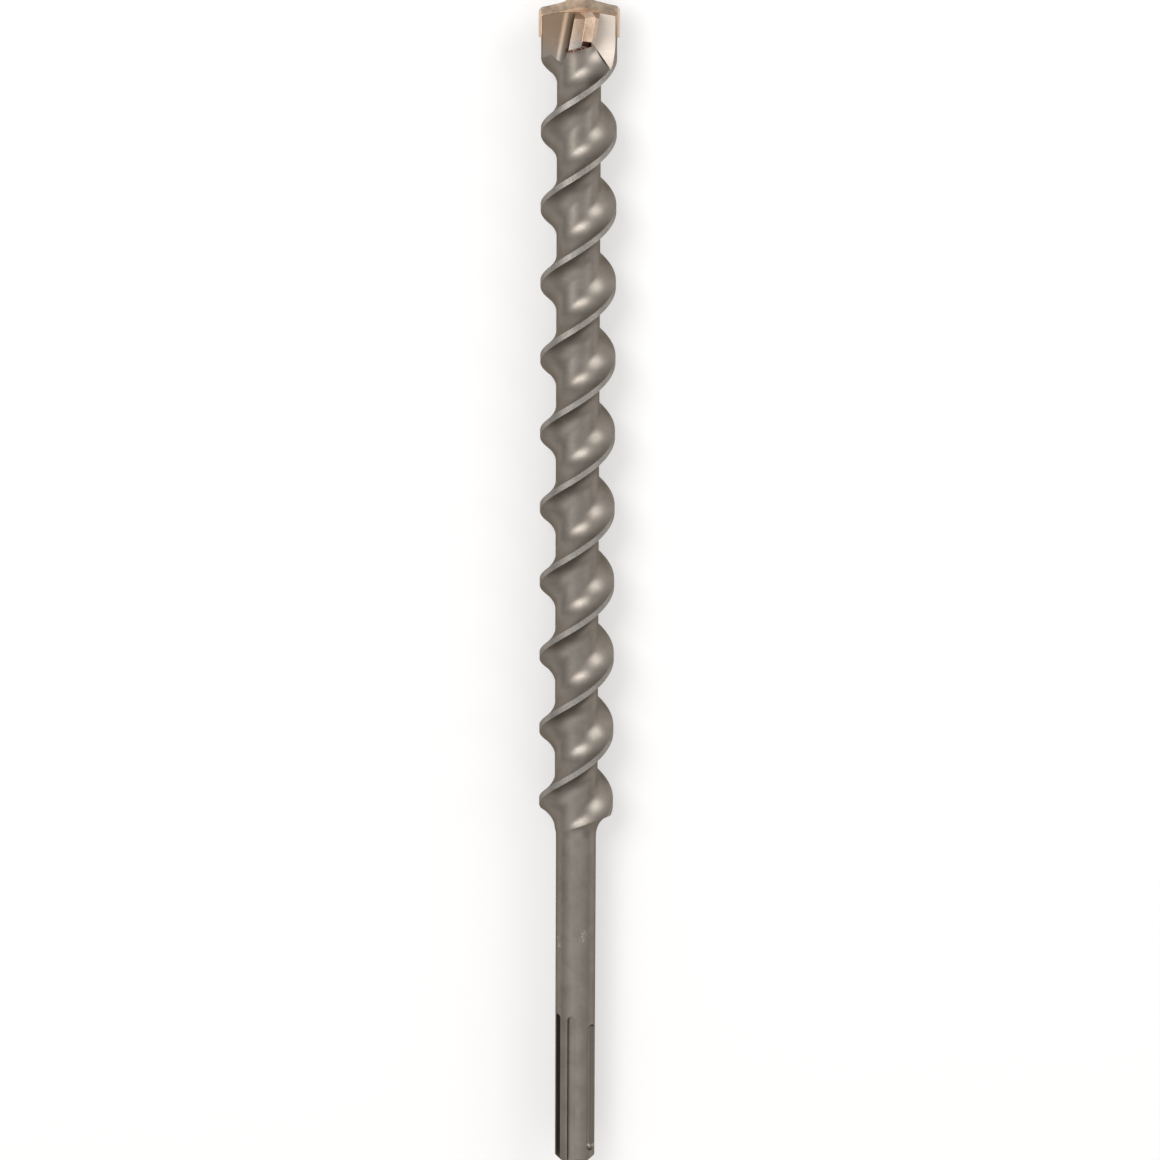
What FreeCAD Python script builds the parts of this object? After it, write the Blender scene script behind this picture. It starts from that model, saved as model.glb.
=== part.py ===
import FreeCAD, Part
import math
import os
import Sketcher

# A drill bit for heavy rotary hammers. Its axis is Y: the shank's striking face is at the origin and the
# point is at overallLength. Z is the side that carries the front side cutter. All sizes are millimetres.

Vector = FreeCAD.Vector
doc = FreeCAD.newDocument("HammerDrillBit")
sheet = doc.addObject("Spreadsheet::Sheet", "Sizes")

drivingSizes = [
    ("overallLength", 533.4),
    # Shank
    ("shankRadius", 9.0),
    ("shankLength", 153.3),
    ("strikeChamfer", 3.0),
    ("shoulderRadius", 11.6),
    ("keyAngle", -35.3),
    ("driveSlotSpread", 24.3),
    ("driveSlotWidth", 3.7),
    ("driveSlotLength", 70.8),
    ("driveSlotDepth", 2.4),
    ("lockGrooveRadius", 3.1),
    ("lockGrooveOffset", 9.5),
    ("lockGrooveStart", 6.1),
    ("lockGrooveEnd", 66.0),
    # Flute: all of these are measured in a plane through the axis
    ("landRadius", 16.6),
    ("coreRadius", 9.6),
    ("fluteLead", 67.2),
    ("landWidth", 2.85),
    ("flankRadius", 12.0),
    ("fluteEndAngle", 45.0),
    ("fluteEndDepth", 19.7),
    ("fluteRunOut", 34.4),
    # Head, with depths measured down from the point
    ("crownDepth", 6.4),
    ("crownSlope", 12.5),
    ("crownRadius", 12.0),
    ("rimSlope", 22.4),
    ("headFloorDepth", 24.4),
    ("headFloorSlope", 15.7),
    ("chipGrooveFloor", 5.0),
    ("chipGrooveWall", 4.6),
    ("chipGrooveRadius", 5.0),
    ("chipGrooveSlant", 10.5),
    ("chipGrooveDepth", 20.0),
    ("backFlatFloor", 5.3),
    ("backFlatWall", 7.1),
    ("backFlatSlant", 10.5),
    ("backFlatDepth", 18.4),
    ("backFlatRunOut", 25.0),
    # Main carbide plate
    ("cutRadius", 17.65),
    ("plateThickness", 6.0),
    ("plateSeatDepth", 20.3),
    ("plateCornerDepth", 8.7),
    ("plateRoofDepth", 6.9),
    ("cornerWidth", 2.8),
    ("cornerRadius", 3.0),
    ("roofSlope", 13.7),
    ("roofRelief", 2.4),
    ("pointBaseRadius", 7.4),
    ("pointHollowRadius", 3.7),
    ("pointNeckRadius", 5.0),
    ("pointNeckDepth", 3.1),
    ("pointRadius", 4.3),
    ("pointShoulderDepth", 1.9),
    ("chiselHalfWidth", 0.5),
    ("pointFlatDepth", 4.4),
    # Side cutters
    ("cutterAngle", 14.8),
    ("cutterSlant", 9.2),
    ("cutterThickness", 3.9),
    ("cutterOuterRadius", 16.65),
    ("cutterInnerRadius", 8.0),
    ("cutterSeatDepth", 20.6),
    ("cutterCornerDepth", 9.8),
    ("cutterRelief", 0.9),
    ("cutterRunOutDepth", 2.2),
    # Braze
    ("brazeGap", 0.15),
    ("brazeSetback", 0.4),
]
for row, (alias, value) in enumerate(drivingSizes, start=1):
    sheet.set(f"A{row}", alias)
    sheet.set(f"B{row}", str(value))
    sheet.setAlias(f"B{row}", alias)
doc.recompute()


def size(text):
    # The present value of an expression written with sheet names
    value = sheet.evalExpression(text)
    return value.Value if hasattr(value, "Value") else float(value)


def addBody(name):
    body = doc.addObject("PartDesign::Body", name)
    body.Label = name
    return body


def originFeature(body, role):
    return next(feature for feature in body.Origin.OriginFeatures if feature.Role == role)


def addSketch(body, name, plane, offset=("0", "0", "0"), turnAxis=(0, 0, 1), turn="0"):
    # A sketch on an origin plane, shifted by offset and turned about turnAxis, both in the plane's own axes
    sketch = body.newObject("Sketcher::SketchObject", name)
    sketch.AttachmentSupport = [(originFeature(body, plane), "")]
    sketch.MapMode = "FlatFace"
    base = Vector(*[size(text) for text in offset])
    sketch.AttachmentOffset = FreeCAD.Placement(base, FreeCAD.Rotation(Vector(*turnAxis), size(turn)))
    for letter, text in zip("xyz", offset):
        if text != "0":
            sketch.setExpression(f"AttachmentOffset.Base.{letter}", text)
    if turn != "0":
        sketch.setExpression("AttachmentOffset.Rotation.Angle", turn)
    return sketch


def arcBetween(start, end, radius, bulge):
    # The arc from start to end, drawn counter-clockwise. It bulges to the right of the way from start to
    # end where bulge is 1, and to the left where it is -1.
    chord = end - start
    half = chord.Length / 2
    side = Vector(chord.y, -chord.x, 0).normalize() * bulge
    middle = (start + end) / 2 + side * (radius - math.sqrt(max(radius * radius - half * half, 0)))
    return Part.Arc(start, middle, end) if bulge > 0 else Part.Arc(end, middle, start)


def drawOutline(sketch, corners, arcs=None):
    # A closed outline. Each corner is a pair of expressions. arcs names the sides that are round, and gives
    # each its radius and bulge.
    arcs = arcs or {}
    points = [Vector(size(x), size(y), 0) for x, y in corners]
    count = len(points)
    ends = [(1, 2)] * count
    for side in range(count):
        start, end = points[side], points[(side + 1) % count]
        if side in arcs:
            radius, bulge = arcs[side]
            sketch.addGeometry(arcBetween(start, end, size(radius), bulge), False)
            ends[side] = (1, 2) if bulge > 0 else (2, 1)
        else:
            sketch.addGeometry(Part.LineSegment(start, end), False)
    for side in range(count):
        following = (side + 1) % count
        joint = Sketcher.Constraint("Coincident", side, ends[side][1], following, ends[following][0])
        sketch.addConstraint(joint)
    for side, (x, y) in enumerate(corners):
        bindDistance(sketch, "DistanceX", f"across{side}", side, ends[side][0], x)
        bindDistance(sketch, "DistanceY", f"along{side}", side, ends[side][0], y)
    for side, (radius, bulge) in arcs.items():
        index = sketch.addConstraint(Sketcher.Constraint("Radius", side, size(radius)))
        sketch.renameConstraint(index, f"radius{side}")
        sketch.setExpression(f"Constraints.radius{side}", radius)


def bindDistance(sketch, kind, name, side, end, text):
    index = sketch.addConstraint(Sketcher.Constraint(kind, -1, 1, side, end, size(text)))
    sketch.renameConstraint(index, name)
    sketch.setExpression(f"Constraints.{name}", text)


def addFeature(body, kind, name, sketch, **settings):
    # A feature made from a sketch. A setting that is text is an expression, bound to the sheet.
    base = body.Tip
    feature = body.newObject(f"PartDesign::{kind}", name)
    feature.BaseFeature = base
    feature.Profile = sketch
    feature.Refine = False
    for key, value in settings.items():
        if isinstance(value, str):
            feature.setExpression(key, value)
        else:
            setattr(feature, key, value)
    doc.recompute()
    return feature


def repeatAroundAxis(body, name, feature, count=2):
    pattern = body.newObject("PartDesign::PolarPattern", name)
    pattern.Originals = [feature]
    pattern.Axis = (originFeature(body, "Y_Axis"), [""])
    pattern.Angle = 360
    pattern.Occurrences = count
    pattern.Refine = False
    body.Tip = pattern
    doc.recompute()
    return pattern


# Heights along the axis that several features share
def below(depth):
    return f"(Sizes.overallLength - {depth})"


# How far a cut runs on past the surface that it leaves
overCut = 1
clearRadius = "(Sizes.landRadius * 2)"
aboveHead = f"(Sizes.overallLength + {clearRadius})"
headFloor = below("Sizes.headFloorDepth")
crownTop = below("Sizes.crownDepth")
crownEdge = f"({crownTop} - Sizes.crownRadius * tan(Sizes.crownSlope))"
rimEdge = f"({crownEdge} - (Sizes.landRadius - Sizes.crownRadius) * tan(Sizes.rimSlope))"
plateSeat = below("Sizes.plateSeatDepth")
cutterSeat = below("Sizes.cutterSeatDepth")
runOutRadius = "((Sizes.cutterInnerRadius + Sizes.landRadius) / 2)"


def addBlank(body):
    # The turned blank: chamfered shank, hollow shoulder up to the land diameter, and the sloped crown
    rise = "(Sizes.landRadius - Sizes.shankRadius)"
    hollow = "Sizes.shoulderRadius"
    shoulder = f"(Sizes.shankLength + sqrt({hollow} ^ 2 - ({hollow} - {rise}) ^ 2))"
    sketch = addSketch(body, "BlankProfile", "XY_Plane")
    corners = [
        ("0", "0"),
        ("Sizes.shankRadius - Sizes.strikeChamfer", "0"),
        ("Sizes.shankRadius", "Sizes.strikeChamfer"),
        ("Sizes.shankRadius", "Sizes.shankLength"),
        ("Sizes.landRadius", shoulder),
        ("Sizes.landRadius", rimEdge),
        ("Sizes.crownRadius", crownEdge),
        ("0", crownTop),
    ]
    drawOutline(sketch, corners, {3: (hollow, 1)})
    axis = (originFeature(body, "Y_Axis"), [""])
    return addFeature(body, "Revolution", "Blank", sketch, ReferenceAxis=axis, Angle=360)


def addFlutes(body):
    # Two helical grooves. The flank's hollow arc is cut as two straight steps that stay close to it.
    depth = "(Sizes.landRadius - Sizes.coreRadius)"
    flankAngle = f"acos(1 - {depth} / Sizes.flankRadius)"
    flankReach = f"(Sizes.flankRadius * sin({flankAngle}))"
    halfOpening = "(Sizes.fluteLead / 4 - Sizes.landWidth / 2)"
    halfFloor = f"({halfOpening} - {flankReach})"
    bendRadius = f"(Sizes.coreRadius + Sizes.flankRadius * (1 - cos({flankAngle} / 2)))"
    halfBend = f"({halfFloor} + Sizes.flankRadius * sin({flankAngle} / 2))"
    # The last step is carried on past the land, so that the cut leaves a clean edge
    stepRise = f"(Sizes.landRadius - {bendRadius})"
    overRadius = f"(Sizes.landRadius + {overCut})"
    halfOver = f"({halfOpening} + ({halfOpening} - {halfBend}) / {stepRise} * {overCut})"
    middle = below("Sizes.fluteEndDepth")
    sketch = addSketch(body, "FluteProfile", "XY_Plane", turnAxis=(0, 1, 0), turn="-Sizes.fluteEndAngle")
    corners = [
        ("Sizes.coreRadius", f"{middle} - {halfFloor}"),
        ("Sizes.coreRadius", f"{middle} + {halfFloor}"),
        (bendRadius, f"{middle} + {halfBend}"),
        (overRadius, f"{middle} + {halfOver}"),
        (overRadius, f"{middle} - {halfOver}"),
        (bendRadius, f"{middle} - {halfBend}"),
    ]
    drawOutline(sketch, corners)
    length = f"{middle} - Sizes.shankLength + Sizes.fluteRunOut"
    turn = {"ReferenceAxis": (sketch, ["V_Axis"]), "Mode": 0, "Reversed": True, "Pitch": "Sizes.fluteLead"}
    groove = addFeature(body, "SubtractiveHelix", "FluteGroove", sketch, Height=length, **turn)
    return repeatAroundAxis(body, "Flutes", groove)


def addHeadLobes(body):
    # The flutes end under a sloping floor. The lobes above it are full, and are turned to the land diameter.
    offset = ("0", "0", f"-{headFloor}")
    sketch = addSketch(body, "LobeProfile", "XZ_Plane", offset, (0, 1, 0), "Sizes.headFloorSlope")
    corners = [
        (f"-{clearRadius}", "0"),
        (clearRadius, "0"),
        (clearRadius, f"Sizes.landRadius + {overCut}"),
        (f"-{clearRadius}", f"Sizes.landRadius + {overCut}"),
    ]
    drawOutline(sketch, corners)
    height = "Sizes.headFloorDepth + Sizes.landRadius"
    lobe = addFeature(body, "Pad", "Lobe", sketch, Length=height, Reversed=True)
    repeatAroundAxis(body, "Lobes", lobe)
    turning = addSketch(body, "HeadTurningProfile", "XY_Plane")
    low = f"{headFloor} - Sizes.landRadius"
    corners = [
        ("Sizes.landRadius", low),
        ("Sizes.landRadius", rimEdge),
        ("Sizes.crownRadius", crownEdge),
        ("0", crownTop),
        ("0", aboveHead),
        (f"{clearRadius} * 2", aboveHead),
        (f"{clearRadius} * 2", low),
    ]
    drawOutline(turning, corners)
    axis = (originFeature(body, "Y_Axis"), [""])
    return addFeature(body, "Groove", "HeadTurning", turning, ReferenceAxis=axis, Angle=360)


def addChipGrooves(body):
    # In front of each main cutting edge: a flat floor and a round corner up to the next lobe's wall. The
    # wall's distance from the axis is that at the height where the lobe ends.
    foot = f"({headFloor} - Sizes.chipGrooveDepth)"
    offset = ("-Sizes.chipGrooveDepth * tan(Sizes.chipGrooveSlant)", "0", f"-{foot}")
    sketch = addSketch(body, "ChipGrooveProfile", "XZ_Plane", offset, (0, 1, 0), "-Sizes.chipGrooveSlant")
    corners = [
        (f"-{clearRadius}", "Sizes.chipGrooveFloor"),
        ("-Sizes.chipGrooveWall - Sizes.chipGrooveRadius", "Sizes.chipGrooveFloor"),
        ("-Sizes.chipGrooveWall", "Sizes.chipGrooveFloor + Sizes.chipGrooveRadius"),
        ("-Sizes.chipGrooveWall", clearRadius),
        (f"-{clearRadius}", clearRadius),
    ]
    drawOutline(sketch, corners, {1: ("Sizes.chipGrooveRadius", 1)})
    length = f"{aboveHead} - {foot}"
    groove = addFeature(body, "Pocket", "ChipGroove", sketch, Length=length)
    return repeatAroundAxis(body, "ChipGrooves", groove)


def addBackFlats(body):
    # Behind each main cutting edge: a flat that runs out along the cutter's arc, down to the land's edge
    middle = below("Sizes.backFlatDepth")
    offset = (middle, "0", "Sizes.backFlatWall")
    sketch = addSketch(body, "BackFlatProfile", "YZ_Plane", offset, (0, 1, 0), "-Sizes.backFlatSlant")
    corners = [
        ("0", "Sizes.backFlatFloor"),
        (f"{clearRadius}", "Sizes.backFlatFloor"),
        (f"{clearRadius}", "Sizes.backFlatFloor + Sizes.backFlatRunOut"),
        ("-Sizes.backFlatRunOut", "Sizes.backFlatFloor + Sizes.backFlatRunOut"),
    ]
    drawOutline(sketch, corners, {3: ("Sizes.backFlatRunOut", 1)})
    flat = addFeature(body, "Pocket", "BackFlat", sketch, Length=clearRadius, Reversed=True)
    return repeatAroundAxis(body, "BackFlats", flat)


def addPlateSlot(body):
    sketch = addSketch(body, "PlateSlotProfile", "XY_Plane")
    seat = f"{plateSeat} - Sizes.brazeGap"
    corners = [(f"-{clearRadius}", seat), (clearRadius, seat), (clearRadius, aboveHead)]
    corners.append((f"-{clearRadius}", aboveHead))
    drawOutline(sketch, corners)
    width = "Sizes.plateThickness + 2 * Sizes.brazeGap"
    return addFeature(body, "Pocket", "PlateSlot", sketch, Length=width, Midplane=True)


def outwardSketch(body, name, radius, turn):
    # A sketch that faces away from the axis at this angle and this far out
    across = f"({radius}) * sin({turn})"
    outwards = f"({radius}) * cos({turn})"
    return addSketch(body, name, "XY_Plane", (across, "0", outwards), (0, 1, 0), turn)


cutterRise = "((Sizes.cutterSeatDepth - Sizes.cutterCornerDepth) / cos(Sizes.cutterSlant))"


def slantedOutline(corners):
    # Points of a side cutter's front view, given as the distance across from its leaning middle line and
    # the height along it from the seat. The line crosses the axis plane halfway up the cutter.
    placed = []
    for across, height in corners:
        level = f"(({height}) - {cutterRise} / 2)"
        x = f"({across}) * cos(Sizes.cutterSlant) + {level} * sin(Sizes.cutterSlant)"
        rise = f"{level} * cos(Sizes.cutterSlant) - ({across}) * sin(Sizes.cutterSlant)"
        y = f"{cutterSeat} + {cutterRise} / 2 * cos(Sizes.cutterSlant) + {rise}"
        placed.append((x, y))
    return placed


def slantedBox(half, low, high):
    return slantedOutline([(f"-({half})", low), (half, low), (half, high), (f"-({half})", high)])


def addCutterSlots(body):
    # A slot for each side cutter, and the shallow run-out of the slotting cutter below its seat
    half = "Sizes.cutterThickness / 2 + Sizes.brazeGap"
    inner = "Sizes.cutterInnerRadius - Sizes.brazeGap"
    sketch = outwardSketch(body, "CutterSlotProfile", inner, "Sizes.cutterAngle")
    drawOutline(sketch, slantedBox(half, "-Sizes.brazeGap", f"{cutterRise} + Sizes.landRadius"))
    slot = addFeature(body, "Pocket", "CutterSlot", sketch, Length=clearRadius, Reversed=True)
    repeatAroundAxis(body, "CutterSlots", slot)
    runOut = outwardSketch(body, "CutterRunOutProfile", runOutRadius, "Sizes.cutterAngle")
    drawOutline(runOut, slantedBox(half, "-Sizes.cutterRunOutDepth", "Sizes.cutterThickness"))
    pocket = addFeature(body, "Pocket", "CutterRunOut", runOut, Length=clearRadius, Reversed=True)
    return repeatAroundAxis(body, "CutterRunOuts", pocket)


def addDriveSlot(body, name, turn):
    # An open slot from the striking face, with a flat floor and a round end
    sketch = outwardSketch(body, f"{name}Profile", "Sizes.shankRadius - Sizes.driveSlotDepth", turn)
    half = "Sizes.driveSlotWidth / 2"
    shoulder = f"Sizes.driveSlotLength - {half}"
    corners = [
        (f"-{half}", f"-{overCut}"),
        (half, f"-{overCut}"),
        (half, shoulder),
        ("0", "Sizes.driveSlotLength"),
        (f"-{half}", shoulder),
    ]
    drawOutline(sketch, corners, {2: (half, 1), 3: (half, 1)})
    return addFeature(body, "Pocket", name, sketch, Length="Sizes.shankRadius", Reversed=True)


def addLockGroove(body, name, turn):
    # A closed groove for the chuck's locking roller, with ball-shaped ends
    sketch = addSketch(body, f"{name}Profile", "YZ_Plane", ("0", "0", "0"), (1, 0, 0), turn)
    ball = "Sizes.lockGrooveRadius"
    offset = "Sizes.lockGrooveOffset"
    corners = [
        ("Sizes.lockGrooveStart", offset),
        (f"Sizes.lockGrooveStart + {ball}", f"{offset} - {ball}"),
        (f"Sizes.lockGrooveEnd - {ball}", f"{offset} - {ball}"),
        ("Sizes.lockGrooveEnd", offset),
    ]
    drawOutline(sketch, corners, {0: (ball, 1), 2: (ball, 1)})
    return addFeature(body, "Groove", name, sketch, ReferenceAxis=(sketch, ["Edge4"]), Angle=360)


def buildDrillBody():
    body = addBody("drill_body")
    addBlank(body)
    addFlutes(body)
    addHeadLobes(body)
    addChipGrooves(body)
    addBackFlats(body)
    addPlateSlot(body)
    addCutterSlots(body)
    addDriveSlot(body, "DriveSlotFirst", "Sizes.keyAngle + Sizes.driveSlotSpread")
    addDriveSlot(body, "DriveSlotSecond", "Sizes.keyAngle - Sizes.driveSlotSpread")
    addDriveSlot(body, "DriveSlotThird", "Sizes.keyAngle + 180")
    addLockGroove(body, "LockGrooveFirst", "Sizes.keyAngle + 90")
    addLockGroove(body, "LockGrooveSecond", "Sizes.keyAngle - 90")
    return body


def plateOutline(frontSide):
    # The plate's outline on one face. The cutting edge is on the left of the front face and on the right of
    # the back one, and the other half of the roof is lower by the relief.
    corners = [("-Sizes.cutRadius", plateSeat), ("Sizes.cutRadius", plateSeat)]
    slopeRise = "(Sizes.cutRadius - Sizes.cornerWidth - Sizes.pointBaseRadius) * tan(Sizes.roofSlope)"
    halfRoof = [
        ("Sizes.cutRadius", "Sizes.plateCornerDepth"),
        ("(Sizes.cutRadius - Sizes.cornerWidth)", "Sizes.plateRoofDepth"),
        ("Sizes.pointBaseRadius", f"(Sizes.plateRoofDepth - {slopeRise})"),
        ("Sizes.pointNeckRadius", "Sizes.pointNeckDepth"),
        ("Sizes.pointRadius", "Sizes.pointShoulderDepth"),
    ]
    low = [(x, below(f"({depth} + Sizes.roofRelief)")) for x, depth in halfRoof]
    high = [(x, below(depth)) for x, depth in halfRoof]
    right, left = (low, high) if frontSide else (high, low)
    chisel = ("Sizes.chiselHalfWidth", "Sizes.overallLength")
    corners += right + [chisel]
    corners += [(f"-{x}", y) for x, y in reversed(left + [chisel])]
    corner = ("Sizes.cornerRadius", 1)
    hollow = ("Sizes.pointHollowRadius", -1)
    return corners, {2: corner, 4: hollow, 10: hollow, 12: corner}


def buildCuttingPlate():
    body = addBody("main_cutting_plate")
    faces = []
    for name, sign, frontSide in (("Front", "", True), ("Back", "-", False)):
        offset = ("0", "0", f"{sign}Sizes.plateThickness / 2")
        sketch = addSketch(body, f"Plate{name}Outline", "XY_Plane", offset)
        corners, arcs = plateOutline(frontSide)
        drawOutline(sketch, corners, arcs)
        faces.append(sketch)
    doc.recompute()
    addFeature(body, "AdditiveLoft", "Plate", faces[0], Sections=faces[1:], Ruled=True)
    # The point is ground to a wedge on both faces
    sketch = addSketch(body, "PointFlatProfile", "YZ_Plane")
    half = "Sizes.plateThickness / 2"
    corners = [
        (below("Sizes.pointFlatDepth"), half),
        ("Sizes.overallLength", "Sizes.chiselHalfWidth"),
        (f"Sizes.overallLength + {overCut}", half),
    ]
    drawOutline(sketch, corners)
    flat = addFeature(body, "Pocket", "PointFlat", sketch, Length="Sizes.cutRadius * 2", Midplane=True)
    repeatAroundAxis(body, "PointFlats", flat)
    return body


def turnAboutAxis(body, angle):
    body.Placement = FreeCAD.Placement(Vector(0, 0, 0), FreeCAD.Rotation(Vector(0, 1, 0), size(angle)))
    body.setExpression("Placement.Rotation.Angle", angle)


def buildSideCutter(name, angle):
    # A carbide block that leans with its slot. Its roof falls outwards and behind the cutting edge.
    body = addBody(name)
    half = "Sizes.cutterThickness / 2"
    climb = "(Sizes.cutterOuterRadius - Sizes.cutterInnerRadius) * tan(Sizes.crownSlope)"
    sections = (("Outer", "Sizes.cutterOuterRadius", "0"), ("Inner", "Sizes.cutterInnerRadius", climb))
    ends = []
    for end, radius, extra in sections:
        sketch = addSketch(body, f"{end}Outline", "XY_Plane", ("0", "0", radius))
        lead = f"{cutterRise} + {extra}"
        corners = [(f"-{half}", "0"), (half, "0"), (half, lead), (f"-{half}", f"{lead} - Sizes.cutterRelief")]
        drawOutline(sketch, slantedOutline(corners))
        ends.append(sketch)
    doc.recompute()
    addFeature(body, "AdditiveLoft", "Cutter", ends[0], Sections=ends[1:], Ruled=True)
    grinding = addSketch(body, "GrindingProfile", "XY_Plane")
    low = f"{cutterSeat} - Sizes.landRadius"
    corners = [("Sizes.cutterOuterRadius", low), (clearRadius, low), (clearRadius, aboveHead)]
    corners.append(("Sizes.cutterOuterRadius", aboveHead))
    drawOutline(grinding, corners)
    axis = (originFeature(body, "Y_Axis"), [""])
    addFeature(body, "Groove", "Grinding", grinding, ReferenceAxis=axis, Angle=360)
    turnAboutAxis(body, angle)
    return body


def buildPlateBraze():
    # The copper layer on the plate's two faces and under it, set back a little from the steel's surface
    body = addBody("main_plate_braze")
    sketch = addSketch(body, "LayerOutline", "XY_Plane")
    seat = f"{plateSeat} - Sizes.brazeGap"
    edge = "(Sizes.landRadius - Sizes.brazeSetback)"
    rise = "(Sizes.crownRadius * tan(Sizes.crownSlope))"
    fall = "((Sizes.landRadius - Sizes.crownRadius) * tan(Sizes.rimSlope))"
    top = f"({crownTop} - 2 * Sizes.brazeSetback)"
    corners = [
        (f"-{edge}", seat),
        (edge, seat),
        (edge, f"{top} - {rise} - {fall}"),
        ("Sizes.crownRadius", f"{top} - {rise}"),
        ("0", top),
        ("-Sizes.crownRadius", f"{top} - {rise}"),
        (f"-{edge}", f"{top} - {rise} - {fall}"),
    ]
    drawOutline(sketch, corners)
    width = "Sizes.plateThickness + 2 * Sizes.brazeGap"
    addFeature(body, "Pad", "Layer", sketch, Length=width, Midplane=True)
    inside = addSketch(body, "PlateSpace", "XY_Plane")
    corners = [(f"-{clearRadius}", plateSeat), (clearRadius, plateSeat), (clearRadius, aboveHead)]
    corners.append((f"-{clearRadius}", aboveHead))
    drawOutline(inside, corners)
    addFeature(body, "Pocket", "PlateOpening", inside, Length="Sizes.plateThickness", Midplane=True)
    return body


def buildCutterBraze(name, angle):
    # The copper layer on a side cutter's two faces, under it and behind it
    body = addBody(name)
    inner = "Sizes.cutterInnerRadius - Sizes.brazeGap"
    half = "Sizes.cutterThickness / 2"
    outer = "Sizes.landRadius - Sizes.brazeSetback"
    top = f"{cutterRise} - Sizes.cutterRelief - 2 * Sizes.brazeSetback"
    sketch = addSketch(body, "LayerOutline", "XY_Plane", ("0", "0", inner))
    drawOutline(sketch, slantedBox(f"{half} + Sizes.brazeGap", "-Sizes.brazeGap", top))
    addFeature(body, "Pad", "Layer", sketch, Length=f"{outer} - ({inner})")
    inside = addSketch(body, "CutterSpace", "XY_Plane", ("0", "0", "Sizes.cutterInnerRadius"))
    drawOutline(inside, slantedBox(half, "0", f"{cutterRise} * 2"))
    addFeature(body, "Pocket", "CutterOpening", inside, Length="Sizes.landRadius", Reversed=True)
    shallow = addSketch(body, "RunOutSpace", "XY_Plane", ("0", "0", runOutRadius))
    drawOutline(shallow, slantedBox(f"{half} + {overCut}", "-Sizes.cutterRunOutDepth", "0"))
    addFeature(body, "Pocket", "RunOutOpening", shallow, Length="Sizes.landRadius", Reversed=True)
    turnAboutAxis(body, angle)
    return body


frontAngle = "Sizes.cutterAngle"
rearAngle = "Sizes.cutterAngle + 180"
parts = [
    buildDrillBody(),
    buildCuttingPlate(),
    buildSideCutter("side_cutter_front", frontAngle),
    buildSideCutter("side_cutter_rear", rearAngle),
    buildPlateBraze(),
    buildCutterBraze("side_cutter_braze_front", frontAngle),
    buildCutterBraze("side_cutter_braze_rear", rearAngle),
]
doc.recompute()

for item in doc.Objects:
    if "Invalid" in item.State or "Error" in item.State:
        raise RuntimeError(f"{item.Label} failed: {item.State}")
os.makedirs("parts", exist_ok=True)
for part in parts:
    if part.Shape.isNull() or not part.Shape.isValid() or len(part.Shape.Solids) != 1:
        raise RuntimeError(f"{part.Label} is not one valid solid")
    part.Shape.exportStep(f"parts/{part.Label}.step")
    print(part.Label, round(part.Shape.Volume, 1))
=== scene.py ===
import math
import bmesh
import bpy
from mathutils import Matrix, Vector


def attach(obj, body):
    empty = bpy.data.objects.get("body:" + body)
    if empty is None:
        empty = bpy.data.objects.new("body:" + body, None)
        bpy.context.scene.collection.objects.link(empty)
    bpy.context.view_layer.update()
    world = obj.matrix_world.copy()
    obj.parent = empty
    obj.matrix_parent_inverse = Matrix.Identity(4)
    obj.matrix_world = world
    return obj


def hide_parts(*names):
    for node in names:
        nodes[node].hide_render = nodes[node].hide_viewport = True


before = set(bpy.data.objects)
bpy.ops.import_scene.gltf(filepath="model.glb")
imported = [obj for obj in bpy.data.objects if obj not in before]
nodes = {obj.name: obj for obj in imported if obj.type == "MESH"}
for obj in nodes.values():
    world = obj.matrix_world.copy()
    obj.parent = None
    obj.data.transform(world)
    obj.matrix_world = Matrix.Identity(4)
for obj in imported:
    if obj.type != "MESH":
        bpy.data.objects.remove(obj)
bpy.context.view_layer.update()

# The bit lies along Y with its striking face at the origin. Sizes are written in millimetres.
mm = 0.001
farOut = 40.0  # well outside the bit, where the shape of a tool no longer matters
scene = bpy.context.scene
print("frame loaded:", len(nodes), "solids")


def linearColour(hexValue):
    channels = [int(hexValue[i:i + 2], 16) / 255 for i in (1, 3, 5)]
    return tuple(c / 12.92 if c <= 0.04045 else ((c + 0.055) / 1.055) ** 2.4 for c in channels) + (1.0,)


def addNode(tree, kind, settings=None, inputs=None):
    # One node with its settings. An input that is a socket is linked, and any other value is set.
    node = tree.nodes.new(kind)
    for name, value in (settings or {}).items():
        setattr(node, name, value)
    for name, value in (inputs or {}).items():
        if isinstance(value, bpy.types.NodeSocket):
            tree.links.new(value, node.inputs[name])
        else:
            node.inputs[name].default_value = value
    return node


def closeMesh(mesh):
    # Welds the seams and turns all faces outwards
    work = bmesh.new()
    work.from_mesh(mesh)
    bmesh.ops.remove_doubles(work, verts=work.verts, dist=0.0001 * mm)
    bmesh.ops.recalc_face_normals(work, faces=work.faces)
    work.to_mesh(mesh)
    work.free()


def addMesh(name, vertices, faces):
    mesh = bpy.data.meshes.new(name)
    mesh.from_pydata([Vector(v) * mm for v in vertices], [], faces)
    closeMesh(mesh)
    piece = bpy.data.objects.new(name, mesh)
    scene.collection.objects.link(piece)
    return piece


# The camera stands above the bit, as in the photograph
view = {
    "focal": 5270.7,  # in pixels of the photograph, which is square
    "pixels": 1160,
    "sensor": 36,
    "position": (-5.71, 787.05, 2287.2),
    "tilt": 0.22195,  # these three are in radians
    "yaw": 0.00301,
    "roll": 0.00359,
    "farEnd": 20000,
}


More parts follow.
